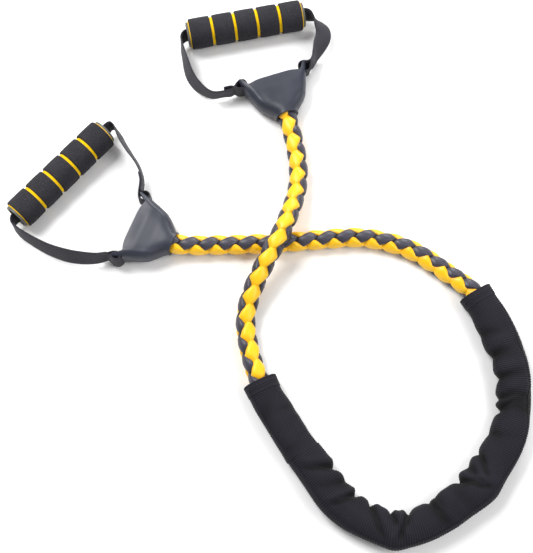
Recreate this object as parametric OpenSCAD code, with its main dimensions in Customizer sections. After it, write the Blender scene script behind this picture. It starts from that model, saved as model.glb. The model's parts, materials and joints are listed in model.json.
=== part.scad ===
// Braided resistance band with two foam grips, laid out in a crossing loop.
// Four elastic strands run from hood to hood, and a fabric sleeve covers the middle of them.

/* [Cord] */
// Diameter of one elastic strand
strand_d = 8; // [7:0.5:8]
// Diameter of the round braid that the four strands make
braid_d = 20; // [20:1:21]

/* [Sleeve] */
// Width of the fabric sleeve as it lies
sleeve_w = 37; // [34:1:40]
// Height of the fabric sleeve as it lies
sleeve_h = 25.6; // [25:0.2:27]
// Thickness of the sleeve fabric
sleeve_wall = 1.6; // [1:0.2:1.6]

/* [Grip] */
// Length of the foam grip
grip_l = 133; // [125:1:140]
// Diameter over the foam
foam_d = 35; // [34:1:36]
// Diameter of the yellow foam liner that shows in the grooves
liner_d = 30.5; // [30:0.5:32]
// Diameter of the hard tube inside the foam
core_d = 28; // [28:0.5:29]
// Number of foam bands
bands = 5; // [5:1:5]
// Width of the groove between two bands
groove_w = 3.2; // [2:0.2:5]
// Width of liner that shows past the first and the last band
end_show = 1; // [0.5:0.5:2]
// Thickness of the end cap's flange
cap_t = 2.5; // [2:0.5:3]

/* [Webbing] */
// Width of the webbing strap
web_w = 20; // [16:1:20]
// Thickness of the webbing strap
web_t = 2; // [1.5:0.1:2]

/* [Hood] */
// Height of the rubber hood at its mouth
hood_h = 28; // [28:1:29]
// Half width of the hood at its ears
hood_half_w = 39.5; // [39:0.5:41]

/* [Hidden] */
$fn = 64;

// Middle of the layout on the floor, which becomes the origin
middle = [-4.5, 23.6];

// Strands stand in a square bundle, a hair apart
strand_gap = 0.3;
strand_step = (strand_d + strand_gap) / 2;
strand_sides = 8;
bundle_r = strand_step * sqrt(2) + strand_d / 2;

// Hoods: the neck's centre on the floor plan, its height, and the way the mouth faces
hood_z = 14;
left_neck = [-103, 33.4];
left_turn = 158;
right_neck = [22.5, 189.2];
right_turn = 108.3;
neck_r = 13;
neck_clear = 0.5;
bore_r = bundle_r + neck_clear;
hood_wall = 3.2;
cord_in_hood = 33.8;
neck_l = 3;
shoulder = [19, 19];
shoulder_r = 7;
shoulder_drop = 1;
ear_x = 47;
ear_r = 3.5;
// The slot behind each ear's bar, and the hollow between the ears
bar_back = 44;
slot_w = 2.9;
slot_l = 22;
slot_h = web_w + 1;
cavity_x = 25;
cavity_back = [29, 17];
cavity_back_r = 4;
cavity_half_w = 31.5;
cavity_edge_r = 3;
cavity_side_x = 40.5;
cavity_front_x = 62;
// The ferrule and the strand plugs in the hollow
ferrule_wall = 0.5;
ferrule_l = 7;
plug_l = 5;

// Grips: the middle on the floor plan, and the way the axis points; the outer bands are longer
grip_z = foam_d / 2;
left_grip = [-227, 114];
left_grip_turn = 48.5;
right_grip = [-24.5, 303];
right_grip_turn = 11.4;
outer_more = 1.4;
band_l = (grip_l - 2 * end_show - 2 * outer_more - (bands - 1) * groove_w) / bands;
grip_half = grip_l / 2 + cap_t;
core_wall = 1;
spigot_wall = 0.8;
spigot_l = 12;

// Route of the cord, from the left hood to the sleeve
left_run = [
    [-80, 31.5, 12.5], [-55, 32.5, 10.5], [-35, 33, 10], [-12, 34, 10], [12, 35, 10], [36, 37, 10],
    [60, 39, 10], [84, 41, 10], [107, 41, 10], [128, 37, 10], [148, 31, 10], [166, 22, 10],
    [183, 10, 10], [198, -2, 10.5], [211, -12, 11.5]
];
// Route of the cord and of the sleeve round the loop
sleeve_run = [
    [222, -23, 12.5], [234, -44, 12.9], [245, -69, 12.9], [253, -96, 12.9], [256, -126, 12.9],
    [251, -158, 12.9], [237, -191, 12.9], [214, -221, 12.9], [186, -246, 12.9],
    [156, -262, 12.9], [128, -267, 12.9], [100, -260, 12.9], [74, -241, 12.9],
    [52, -214, 12.9], [32, -185, 12.9], [14, -158, 12.9], [2, -138, 12.9], [-7, -119, 12.5]
];
// Route of the cord from the sleeve, over the first run, to the right hood
right_run = [
    [-14, -99, 11.5], [-20, -74, 10.5], [-22, -50, 11.5], [-17, -27, 16.5], [-7, -4, 23.5],
    [3, 15, 28.5], [13, 34, 30.5], [21, 53, 27.5], [28, 74, 20.5], [33.5, 95, 14.5],
    [35.5, 117, 12], [33.5, 142, 11.5], [29, 165, 12.5]
];
// Routes of the webbing, from the ear that lies on the hood's right to its left ear
left_strap_out = [
    [-137, 105, 14.5], [-138.5, 114, 14.8], [-144, 127, 15.2], [-154, 142, 15.8],
    [-162, 155, 16.5], [-167, 165, 17], [-170.5, 170.5, 17.3], [-175, 172.5, 17.5],
    [-179, 169, 17.5]
];
left_strap_back = [
    [-275, 59, 17.5], [-275.5, 54, 17.4], [-269, 46, 17], [-257, 37.5, 16.5], [-236, 26, 16],
    [-214, 18.5, 15.5], [-196, 16, 15], [-182, 16, 14.7], [-171, 18, 14.3]
];
right_strap_out = [
    [52, 253.5, 14.3], [56.5, 264.5, 14.6], [61.5, 277, 15], [65.5, 287, 15.5],
    [66, 296, 16], [62.5, 303.5, 16.6], [58, 310, 17.2], [52.5, 314.5, 17.5],
    [47.5, 316.6, 17.5]
];
right_strap_back = [
    [-95.5, 287.5, 17.5], [-98.5, 282.5, 17.4], [-98, 275, 17], [-95.5, 264, 16.6],
    [-92, 250, 16.2], [-87, 236, 15.8], [-77, 222.5, 15.3], [-62, 213, 14.9],
    [-48, 214.5, 14.5], [-39, 217, 14.2]
];
// Where the webbing leaves the loop of each ear, in the hood's own frame
left_strap_joints = [[51.8, -36], [51.8, 36]];
right_strap_joints = [[46.5, -41], [46.5, 41]];
loop_clear = 0.3;
thread_t = 0.4;
thread_w = 0.8;
seam_half_h = 6.5;

foam_color = "#2b2a33";
trim_yellow = "#f5c800";
band_yellow = "#ffe000";
strand_dark = "#4a4754";
rubber_color = "#4a4d5a";
fabric_color = "#2a2933";
webbing_color = "#45454f";
cap_color = "#8a8a8c";
core_color = "#d8d8d8";
steel_color = "#b8b8bc";
thread_color = "#1c1c20";

// Vectors along a route: the way it heads, level to its left, and up across it
function unit(v) = v / norm(v);
function heading(route, i) =
    unit(route[min(i + 1, len(route) - 1)] - route[max(i - 1, 0)]);
function leftward(t) = unit(cross([0, 0, 1], t));
function upward(t) = cross(t, leftward(t));
function ring(p, t, section) = [for (q = section) p + q[0] * leftward(t) + q[1] * upward(t)];

// Closed outlines for a swept section
function ellipse(a, b, sides) =
    [for (k = [0 : sides - 1]) [a * cos(360 * k / sides), b * sin(360 * k / sides)]];
function shifted(section, by) = [for (q = section) q + by];
function slab(t0, t1, w0, w1) = [[t1, w0], [t1, w1], [t0, w1], [t0, w0]];

// A point of a hood's own frame, on the floor plan
function on_hood(neck, turn, x, y) = [
    neck[0] + x * cos(turn) - y * sin(turn),
    neck[1] + x * sin(turn) + y * cos(turn),
    hood_z
];
function ear_joint(neck, turn, at) = on_hood(neck, turn, at[0], at[1]);
function on_grip(centre, turn, x) = [centre[0] + x * cos(turn), centre[1] + x * sin(turn), grip_z];

// The whole cord, hood to hood
cord_route = concat(
    [for (x = [cord_in_hood, 18, 0]) on_hood(left_neck, left_turn, x, 0)],
    left_run,
    sleeve_run,
    right_run,
    [for (x = [0, 18, cord_in_hood]) on_hood(right_neck, right_turn, x, 0)]
);
left_strap_route = concat(
    [ear_joint(left_neck, left_turn, left_strap_joints[0])],
    left_strap_out,
    [for (s = [1, 0.5, 0, -0.5, -1]) on_grip(left_grip, left_grip_turn, s * grip_half)],
    left_strap_back,
    [ear_joint(left_neck, left_turn, left_strap_joints[1])]
);
right_strap_route = concat(
    [ear_joint(right_neck, right_turn, right_strap_joints[0])],
    right_strap_out,
    [for (s = [1, 0.5, 0, -0.5, -1]) on_grip(right_grip, right_grip_turn, s * grip_half)],
    right_strap_back,
    [ear_joint(right_neck, right_turn, right_strap_joints[1])]
);

// A closed solid of one section swept along a route
module sweep(route, section) {
    n = len(section);
    last = len(route) - 1;
    walls = [
        for (i = [0 : last - 1], j = [0 : n - 1])
            each [
                [i * n + j, (i + 1) * n + j, (i + 1) * n + (j + 1) % n],
                [i * n + j, (i + 1) * n + (j + 1) % n, i * n + (j + 1) % n]
            ]
    ];
    caps = [
        [for (j = [0 : n - 1]) j],
        [for (j = [0 : n - 1]) last * n + n - 1 - j]
    ];
    polyhedron(
        points = [for (i = [0 : last]) each ring(route[i], heading(route, i), section)],
        faces = concat(walls, caps)
    );
}

// Places: the floor plan's middle at the origin, a hood's frame and a grip's frame
module placed() {
    translate([-middle[0], -middle[1], 0]) children();
}
module at_hood(neck, turn) {
    placed() translate([neck[0], neck[1], hood_z]) rotate([0, 0, turn]) children();
}
module at_grip(centre, turn) {
    placed() translate([centre[0], centre[1], grip_z]) rotate([0, 0, turn]) rotate([0, 90, 0])
        children();
}
module tube(r_out, r_in, l) {
    difference() {
        cylinder(r = r_out, h = l);
        translate([0, 0, -1]) cylinder(r = r_in, h = l + 2);
    }
}

// Cord
module strand(across, up) {
    placed() sweep(
        cord_route,
        shifted(ellipse(strand_d / 2, strand_d / 2, strand_sides),
            [across * strand_step, up * strand_step])
    );
}
module yellow_strand_1() color(band_yellow) strand(1, 1);
module yellow_strand_2() color(band_yellow) strand(-1, -1);
module black_strand_1() color(strand_dark) strand(-1, 1);
module black_strand_2() color(strand_dark) strand(1, -1);

// Sleeve: an open fabric tube, with a line of thread round each mouth
sleeve_sides = 20;
sleeve_centre_z = 13.2;
sleeve_route = [for (p = sleeve_run) [p[0], p[1], sleeve_centre_z]];
sleeve_ends = len(sleeve_route) - 1;
sleeve_past = 4;
hem_w = 12;
function past(route, i, by) = route[i] + by * heading(route, i);

module sleeve() {
    inner_w = sleeve_w / 2 - sleeve_wall;
    inner_h = sleeve_h / 2 - sleeve_wall;
    inner_route = concat(
        [past(sleeve_route, 0, -sleeve_past)],
        sleeve_route,
        [past(sleeve_route, sleeve_ends, sleeve_past)]
    );
    color(fabric_color) placed() difference() {
        sweep(sleeve_route, ellipse(sleeve_w / 2, sleeve_h / 2, sleeve_sides));
        sweep(inner_route, ellipse(inner_w, inner_h, sleeve_sides));
    }
}
module hem_thread(p, t) {
    turn = atan2(t[1], t[0]);
    translate(p) rotate([0, 0, turn]) rotate([90, 0, 90]) linear_extrude(thread_w)
        difference() {
            polygon(ellipse(sleeve_w / 2 + thread_t, sleeve_h / 2 + thread_t, sleeve_sides));
            polygon(ellipse(sleeve_w / 2, sleeve_h / 2, sleeve_sides));
        }
}
module sleeve_stitching() {
    first = unit(sleeve_route[1] - sleeve_route[0]);
    final = unit(sleeve_route[sleeve_ends] - sleeve_route[sleeve_ends - 1]);
    color(thread_color) placed() {
        hem_thread(sleeve_route[0] + hem_w * first, first);
        hem_thread(sleeve_route[sleeve_ends] - hem_w * final, final);
    }
}

// Hood: a fan-shaped rubber shell, with a slot behind the bar of each ear
module hood() {
    inner_h = hood_h - 2 * hood_wall;
    difference() {
        hull() {
            rotate([0, 90, 0]) cylinder(r = neck_r, h = neck_l);
            for (s = [-1, 1]) {
                translate([shoulder[0], s * shoulder[1], -hood_h / 2 + shoulder_drop])
                    cylinder(r = shoulder_r, h = hood_h - 2 * shoulder_drop, $fn = 32);
                translate([ear_x, s * (hood_half_w - ear_r), -hood_h / 2])
                    cylinder(r = ear_r, h = hood_h, $fn = 32);
            }
        }
        hull() {
            for (s = [-1, 1]) {
                translate([cavity_back[0], s * cavity_back[1], -inner_h / 2])
                    cylinder(r = cavity_back_r, h = inner_h, $fn = 32);
                for (x = [cavity_side_x, cavity_front_x])
                    translate([x, s * (cavity_half_w - cavity_edge_r), -inner_h / 2])
                        cylinder(r = cavity_edge_r, h = inner_h, $fn = 32);
            }
        }
        translate([-1, 0, 0]) rotate([0, 90, 0]) cylinder(r = bore_r, h = cavity_back[0]);
        for (s = [-1, 1])
            translate([bar_back - slot_w, s * hood_half_w - slot_l / 2, -slot_h / 2])
                cube([slot_w, slot_l, slot_h]);
    }
}
module ferrule() {
    inner_r = bundle_r + 0.2;
    translate([cavity_x + 0.4, 0, 0]) rotate([0, 90, 0])
        tube(inner_r + ferrule_wall, inner_r, ferrule_l);
}
module strand_plugs() {
    for (a = [-1, 1], b = [-1, 1])
        translate([cord_in_hood + 0.2, a * strand_step, b * strand_step])
            rotate([0, 90, 0]) cylinder(r = strand_d / 2 - 0.2, h = plug_l);
}

// Strap: webbing from ear to ear through the grip, with a loop round the bar of each ear
module ear_loop(s) {
    back = bar_back - loop_clear;
    front = ear_x + ear_r + loop_clear;
    inner = cavity_half_w - loop_clear;
    outer = hood_half_w + loop_clear;
    translate([0, 0, -web_w / 2]) linear_extrude(web_w) difference() {
        polygon([
            [back - web_t, s * (inner - web_t)], [front + web_t, s * (inner - web_t)],
            [front + web_t, s * (outer + web_t)], [back - web_t, s * (outer + web_t)]
        ]);
        polygon([
            [back, s * inner], [front, s * inner], [front, s * outer], [back, s * outer]
        ]);
    }
}
module strap(route, neck, turn) {
    placed() sweep(route, slab(-web_t / 2, web_t / 2, -web_w / 2, web_w / 2));
    at_hood(neck, turn) {
        ear_loop(1);
        ear_loop(-1);
    }
}
module strap_stitching(route) {
    n = len(route);
    near = [for (i = [1 : 3]) route[i]];
    far = [for (i = [n - 4 : n - 2]) route[i]];
    placed() for (part_route = [near, far], up = [-seam_half_h, seam_half_h])
        sweep(part_route, slab(web_t / 2, web_t / 2 + thread_t, up, up + thread_w));
}

// Grip: five foam bands on a yellow liner on a hard tube, with a flanged cap in each end
module core_tube() {
    translate([0, 0, -grip_l / 2]) tube(core_d / 2, core_d / 2 - core_wall, grip_l);
}
module foam_liner() {
    translate([0, 0, -grip_l / 2]) tube(liner_d / 2, core_d / 2, grip_l);
}
module foam_band(number) {
    first = number == 1 ? outer_more : 0;
    final = number == bands ? outer_more : 0;
    start = -grip_l / 2 + end_show + outer_more + (number - 1) * (band_l + groove_w);
    translate([0, 0, start - first]) tube(foam_d / 2, liner_d / 2, band_l + first + final);
}
module end_cap(s) {
    spigot_r = core_d / 2 - core_wall;
    mirror([0, 0, s < 0 ? 1 : 0]) difference() {
        union() {
            translate([0, 0, grip_l / 2]) cylinder(r = liner_d / 2 - 1, h = cap_t);
            translate([0, 0, grip_l / 2 - spigot_l]) cylinder(r = spigot_r, h = spigot_l);
        }
        translate([0, 0, grip_l / 2 - spigot_l - 1])
            cylinder(r = spigot_r - spigot_wall, h = spigot_l + cap_t + 2);
    }
}

// Left side
module left_hood() color(rubber_color) at_hood(left_neck, left_turn) hood();
module left_ferrule() color(steel_color) at_hood(left_neck, left_turn) ferrule();
module left_strand_plugs() color(strand_dark) at_hood(left_neck, left_turn) strand_plugs();
module left_strap() color(webbing_color) strap(left_strap_route, left_neck, left_turn);
module left_strap_stitching() color(thread_color) strap_stitching(left_strap_route);
module left_core_tube() color(core_color) at_grip(left_grip, left_grip_turn) core_tube();
module left_foam_liner() color(trim_yellow) at_grip(left_grip, left_grip_turn) foam_liner();
module left_inner_end_cap() color(cap_color) at_grip(left_grip, left_grip_turn) end_cap(1);
module left_outer_end_cap() color(cap_color) at_grip(left_grip, left_grip_turn) end_cap(-1);
module left_foam_band_1() color(foam_color) at_grip(left_grip, left_grip_turn) foam_band(1);
module left_foam_band_2() color(foam_color) at_grip(left_grip, left_grip_turn) foam_band(2);
module left_foam_band_3() color(foam_color) at_grip(left_grip, left_grip_turn) foam_band(3);
module left_foam_band_4() color(foam_color) at_grip(left_grip, left_grip_turn) foam_band(4);
module left_foam_band_5() color(foam_color) at_grip(left_grip, left_grip_turn) foam_band(5);

// Right side
module right_hood() color(rubber_color) at_hood(right_neck, right_turn) hood();
module right_ferrule() color(steel_color) at_hood(right_neck, right_turn) ferrule();
module right_strand_plugs() color(strand_dark) at_hood(right_neck, right_turn) strand_plugs();
module right_strap() color(webbing_color) strap(right_strap_route, right_neck, right_turn);
module right_strap_stitching() color(thread_color) strap_stitching(right_strap_route);
module right_core_tube() color(core_color) at_grip(right_grip, right_grip_turn) core_tube();
module right_foam_liner() color(trim_yellow) at_grip(right_grip, right_grip_turn) foam_liner();
module right_inner_end_cap() color(cap_color) at_grip(right_grip, right_grip_turn) end_cap(1);
module right_outer_end_cap() color(cap_color) at_grip(right_grip, right_grip_turn) end_cap(-1);
module right_foam_band_1() color(foam_color) at_grip(right_grip, right_grip_turn) foam_band(1);
module right_foam_band_2() color(foam_color) at_grip(right_grip, right_grip_turn) foam_band(2);
module right_foam_band_3() color(foam_color) at_grip(right_grip, right_grip_turn) foam_band(3);
module right_foam_band_4() color(foam_color) at_grip(right_grip, right_grip_turn) foam_band(4);
module right_foam_band_5() color(foam_color) at_grip(right_grip, right_grip_turn) foam_band(5);

yellow_strand_1();
yellow_strand_2();
black_strand_1();
black_strand_2();
sleeve();
sleeve_stitching();
left_hood();
left_ferrule();
left_strand_plugs();
left_strap();
left_strap_stitching();
left_core_tube();
left_foam_liner();
left_inner_end_cap();
left_outer_end_cap();
left_foam_band_1();
left_foam_band_2();
left_foam_band_3();
left_foam_band_4();
left_foam_band_5();
right_hood();
right_ferrule();
right_strand_plugs();
right_strap();
right_strap_stitching();
right_core_tube();
right_foam_liner();
right_inner_end_cap();
right_outer_end_cap();
right_foam_band_1();
right_foam_band_2();
right_foam_band_3();
right_foam_band_4();
right_foam_band_5();
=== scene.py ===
"""Braided resistance band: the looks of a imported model, laid out as a Blender add-on."""

import json
import math
import random

import bmesh
import bpy
import numpy as np
from mathutils import Matrix, Vector


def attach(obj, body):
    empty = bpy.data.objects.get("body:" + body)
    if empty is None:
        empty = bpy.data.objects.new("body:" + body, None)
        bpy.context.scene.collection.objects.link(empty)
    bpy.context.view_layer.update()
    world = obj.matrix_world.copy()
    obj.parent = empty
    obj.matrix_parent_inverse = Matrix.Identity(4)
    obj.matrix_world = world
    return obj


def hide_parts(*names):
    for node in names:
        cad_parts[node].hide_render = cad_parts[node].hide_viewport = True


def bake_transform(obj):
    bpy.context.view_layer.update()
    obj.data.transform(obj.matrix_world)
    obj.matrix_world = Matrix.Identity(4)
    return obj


bl_info = {
    "name": "Braided Resistance Band",
    "version": (1, 0, 0),
    "blender": (4, 5, 0),
    "location": "3D Viewport > Sidebar > Band",
    "description": "Builds a braided resistance band with foam grips and a fabric sleeve",
    "category": "Add Mesh",
}

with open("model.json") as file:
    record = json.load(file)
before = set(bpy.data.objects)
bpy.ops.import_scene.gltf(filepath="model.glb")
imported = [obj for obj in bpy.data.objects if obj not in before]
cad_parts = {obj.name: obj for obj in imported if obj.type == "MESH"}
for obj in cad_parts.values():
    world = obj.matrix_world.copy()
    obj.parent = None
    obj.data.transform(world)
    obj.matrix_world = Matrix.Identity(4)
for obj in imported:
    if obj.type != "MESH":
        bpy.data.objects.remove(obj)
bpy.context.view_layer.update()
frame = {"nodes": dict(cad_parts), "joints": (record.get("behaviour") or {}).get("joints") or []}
JOINTS = {joint["name"]: joint for joint in frame["joints"]}

# ---------------------------------------------------------------- layout, as the model has it
MM = 0.001
MIDDLE = (-4.5, 23.6)
HOOD_Z = 14.0
SLEEVE_Z = 13.2
GRIP_Z = 17.5
CORD_IN_HOOD = 33.8
LEFT_RUN = [
    (-80, 31.5, 12.5), (-55, 32.5, 10.5), (-35, 33, 10), (-12, 34, 10), (12, 35, 10), (36, 37, 10),
    (60, 39, 10), (84, 41, 10), (107, 41, 10), (128, 37, 10), (148, 31, 10), (166, 22, 10),
    (183, 10, 10), (198, -2, 10.5), (211, -12, 11.5),
]
SLEEVE_RUN = [
    (222, -23, 12.5), (234, -44, 12.9), (245, -69, 12.9), (253, -96, 12.9), (256, -126, 12.9),
    (251, -158, 12.9), (237, -191, 12.9), (214, -221, 12.9), (186, -246, 12.9),
    (156, -262, 12.9), (128, -267, 12.9), (100, -260, 12.9), (74, -241, 12.9),
    (52, -214, 12.9), (32, -185, 12.9), (14, -158, 12.9), (2, -138, 12.9), (-7, -119, 12.5),
]
RIGHT_RUN = [
    (-14, -99, 11.5), (-20, -74, 10.5), (-22, -50, 11.5), (-17, -27, 16.5), (-7, -4, 23.5),
    (3, 15, 28.5), (13, 34, 30.5), (21, 53, 27.5), (28, 74, 20.5), (33.5, 95, 14.5),
    (35.5, 117, 12), (33.5, 142, 11.5), (29, 165, 12.5),
]


class Hood:
    """Where one hood stands on the floor plan, and the way its mouth faces."""

    def __init__(self, x, y, turn):
        self.x, self.y, self.turn = x, y, math.radians(turn)

    def plan(self, x, y, z=HOOD_Z):
        """A point of the hood's own frame, in the layout's millimetres."""
        c, s = math.cos(self.turn), math.sin(self.turn)
        return (self.x + x * c - y * s, self.y + x * s + y * c, z)

    def matrix(self):
        """The hood's own frame, millimetres to the scene's metres."""
        place = Matrix.Translation(on_plan(self.x, self.y, HOOD_Z))
        return place @ Matrix.Rotation(self.turn, 4, "Z") @ Matrix.Scale(MM, 4)


HOODS = {"left": Hood(-103, 33.4, 158), "right": Hood(22.5, 189.2, 108.3)}
SIDES = tuple(HOODS)
GRIP_PLAN = {"left": (-227, 114, 48.5), "right": (-24.5, 303, 11.4)}
STRAP_OUT = {
    "left": [
        (-137, 105, 14.5), (-138.5, 114, 14.8), (-144, 127, 15.2), (-154, 142, 15.8),
        (-162, 155, 16.5), (-167, 165, 17), (-170.5, 170.5, 17.3), (-175, 172.5, 17.5),
        (-179, 169, 17.5),
    ],
    "right": [
        (52, 253.5, 14.3), (56.5, 264.5, 14.6), (61.5, 277, 15), (65.5, 287, 15.5),
        (66, 296, 16), (62.5, 303.5, 16.6), (58, 310, 17.2), (52.5, 314.5, 17.5),
        (47.5, 316.6, 17.5),
    ],
}
STRAP_BACK = {
    "left": [
        (-275, 59, 17.5), (-275.5, 54, 17.4), (-269, 46, 17), (-257, 37.5, 16.5),
        (-236, 26, 16), (-214, 18.5, 15.5), (-196, 16, 15), (-182, 16, 14.7),
        (-171, 18, 14.3),
    ],
    "right": [
        (-95.5, 287.5, 17.5), (-98.5, 282.5, 17.4), (-98, 275, 17), (-95.5, 264, 16.6),
        (-92, 250, 16.2), (-87, 236, 15.8), (-77, 222.5, 15.3), (-62, 213, 14.9),
        (-48, 214.5, 14.5), (-39, 217, 14.2),
    ],
}


def on_plan(x, y, z):
    """A point of the layout, in the scene's metres."""
    return Vector(((x - MIDDLE[0]) * MM, (y - MIDDLE[1]) * MM, z * MM))


# ---------------------------------------------------------------- sizes a user would change
def length(label, about, value):
    return bpy.props.FloatProperty(
        name=label, description=about, default=value, min=0.0, unit="LENGTH", precision=5
    )


def number(label, about, value):
    return bpy.props.FloatProperty(name=label, description=about, default=value, min=0.0)


def tint(label, about, value):
    return bpy.props.FloatVectorProperty(
        name=label, description=about, default=value, subtype="COLOR", min=0.0, max=1.0
    )


class BandCordSettings(bpy.types.PropertyGroup):
    """Sizes of the braided cord."""

    diameter: length("Diameter", "Diameter over the braid", 0.0216)
    pitch: length("Pitch", "Length in which a strand goes once round the braid", 0.0426)
    half_width: length("Strand half width", "Half the width of a strand pressed flat", 0.0067)
    half_height: length("Strand half height", "Half the height of a strand pressed flat", 0.0029)
    weave: length("Weave", "How far a strand moves in and out as it crosses", 0.0025)
    lag: number("Lag", "How much slower a strand turns on a crown than in a dive", 0.42)
    hold: number("Hold", "How evenly it keeps to that slower turn over the crown", 0.09)


class BandSleeveSettings(bpy.types.PropertyGroup):
    """Sizes of the fabric sleeve."""

    half_width: length("Half width", "Half the width of the sleeve as it lies", 0.0183)
    half_height: length("Half height", "Half the height of the sleeve as it lies", 0.0127)
    wall: length("Wall", "Thickness of the fabric", 0.0012)
    rib: length("Rib pitch", "Distance from one rib of the weave to the next", 0.0022)
    rib_height: length("Rib height", "How far a rib stands up", 0.00024)
    clear: length("Clear", "Least distance of the cloth from the cord's middle", 0.0126)
    gather: number("Gathers", "Depth of the gathers, against the pattern's own", 1.0)
    crease: number("Creases", "Depth of the creases over the top, against the gathers", 0.55)
    hem: length("Hem", "Width of the hem at each mouth", 0.012)


class BandGripSettings(bpy.types.PropertyGroup):
    """Sizes of the foam grips."""

    edge: length("Edge", "Rounding of a foam band's edges", 0.0014)
    pore: length("Pore", "Size of a pore in the foam", 0.0007)


class BandWebbingSettings(bpy.types.PropertyGroup):
    """Sizes of the webbing."""

    width: length("Width", "Width of the webbing", 0.0200)
    thickness: length("Thickness", "Thickness of the webbing", 0.0018)
    yarn: length("Yarn", "Width of one rib of the webbing's weave", 0.0015)
    stitch: length("Stitch", "Length of one stitch", 0.0022)


class BandColours(bpy.types.PropertyGroup):
    """Colours of the band."""

    yellow: tint("Yellow strand", "Colour of the yellow elastic", (0.93, 0.53, 0.0))
    # painted shade: the yellow between the strands, where they dive under
    yellow_painted_shade: tint("Yellow shade", "Yellow between the strands", (0.74, 0.27, 0.0))
    dark: tint("Dark strand", "Colour of the dark elastic", (0.040, 0.037, 0.054))
    foam: tint("Foam", "Colour of the black foam", (0.027, 0.026, 0.031))
    liner: tint("Liner", "Colour of the yellow foam", (0.93, 0.56, 0.005))
    hood: tint("Hood", "Colour of the moulded rubber", (0.021, 0.024, 0.038))
    sleeve: tint("Sleeve", "Colour of the sleeve fabric", (0.0085, 0.008, 0.013))
    webbing: tint("Webbing", "Colour of the webbing", (0.020, 0.020, 0.026))
    floor: tint("Floor", "Colour of the floor", (0.93, 0.93, 0.93))


# ---------------------------------------------------------------- shader expressions
class Wire:
    """A shader socket that takes part in Python expressions on values."""

    def __init__(self, shader, socket):
        self.shader, self.socket = shader, socket

    def _sum(self, operation, a, b=None):
        values = {0: a} if b is None else {0: a, 1: b}
        return self.shader.node("ShaderNodeMath", {"operation": operation}, values)

    def __add__(self, other):
        return self._sum("ADD", self, other)

    __radd__ = __add__

    def __mul__(self, other):
        return self._sum("MULTIPLY", self, other)

    __rmul__ = __mul__

    def __sub__(self, other):
        return self._sum("SUBTRACT", self, other)

    def __rsub__(self, other):
        return self._sum("SUBTRACT", other, self)

    def __truediv__(self, other):
        return self._sum("DIVIDE", self, other)

    def __abs__(self):
        return self._sum("ABSOLUTE", self)

    def sine(self):
        return self._sum("SINE", self)

    def clamped(self):
        return self._sum("MAXIMUM", self._sum("MINIMUM", self, 1.0), 0.0)


class Shader:
    """One material and the nodes that make it."""

    def __init__(self, name, **constants):
        self.material = bpy.data.materials.new(name)
        self.material.use_nodes = True
        self.tree = self.material.node_tree
        self.surface = self.tree.nodes["Principled BSDF"]
        for socket, value in constants.items():
            self.surface.inputs[socket.replace("_", " ")].default_value = value

    def node(self, kind, settings=None, values=None, output=0):
        """A node of one kind: its settings first, then the values or links of its sockets."""
        made = self.tree.nodes.new(kind)
        for key, value in (settings or {}).items():
            setattr(made, key, value)
        for key, value in (values or {}).items():
            self.feed(made.inputs[key], value)
        return Wire(self, made.outputs[output])

    def feed(self, socket, value):
        if isinstance(value, Wire):
            self.tree.links.new(value.socket, socket)
        else:
            socket.default_value = value

    def out(self, socket, value):
        self.feed(self.surface.inputs[socket], value)

    def coordinates(self, kind="Object"):
        return self.node("ShaderNodeTexCoord", output=kind)

    def uv(self):
        """Metres along and across the surface."""
        split = self.node("ShaderNodeSeparateXYZ", values={0: self.coordinates("UV")})
        return split, Wire(self, split.socket.node.outputs[1])

    def noise(self, scale, detail=3.0, where=None):
        where = where or self.coordinates()
        values = {"Vector": where, "Scale": scale, "Detail": detail}
        return self.node("ShaderNodeTexNoise", values=values)

    def mix(self, factor, a, b):
        """A colour between two colours."""
        made = self.tree.nodes.new("ShaderNodeMix")
        made.data_type = "RGBA"
        self.feed(made.inputs[0], factor)
        for place, colour in ((6, a), (7, b)):
            self.feed(made.inputs[place], colour if isinstance(colour, Wire) else rgba(colour))
        return Wire(self, made.outputs[2])

    def bump(self, height, distance, strength=1.0):
        """Feeds the surface's normal from a height in units of distance."""
        values = {"Height": height, "Distance": distance, "Strength": strength}
        self.out("Normal", self.node("ShaderNodeBump", values=values))


def rgba(colour):
    return (*colour[:3], 1.0)


def scaled(colour, by):
    return tuple(min(1.0, c * by) for c in colour[:3])


MATERIALS = {}


def material(make):
    """Keeps one copy of each material, under its function's name."""

    def once():
        if make.__name__ not in MATERIALS:
            MATERIALS[make.__name__] = make(bpy.context.scene.band_colours).material
        return MATERIALS[make.__name__]

    return once


def elastic(name, light, deep):
    """Satin elastic: painted shade where the strands dive, with faint extrusion lines."""
    shader = Shader(name, IOR=1.5)
    depth = shader.node("ShaderNodeAttribute", {"attribute_name": "depth"}, output=2)
    _, across = shader.uv()
    mottle = shader.noise(70.0, 2.0)
    # painted shade: the depth attribute mixes the strand towards its shade colour where it dives;
    # the mottle is random tone
    tone = (depth * 1.25 - 0.2 + (mottle - 0.5) * 0.35).clamped()
    shader.out("Base Color", shader.mix(tone, deep, light))
    shader.out("Roughness", mottle * 0.16 + 0.34)
    lines = (across * (2 * math.pi / 0.0011)).sine() * 0.25
    shader.bump(lines + shader.noise(1400.0, 2.0) * 0.8, 0.00008)
    return shader


@material
def yellow_elastic(colours):
    return elastic("yellow_elastic", colours.yellow, colours.yellow_painted_shade)


@material
def dark_elastic(colours):
    # painted shade: the dark strand's colour scaled to 0.12 where it dives
    return elastic("dark_elastic", colours.dark, scaled(colours.dark, 0.12))


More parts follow.
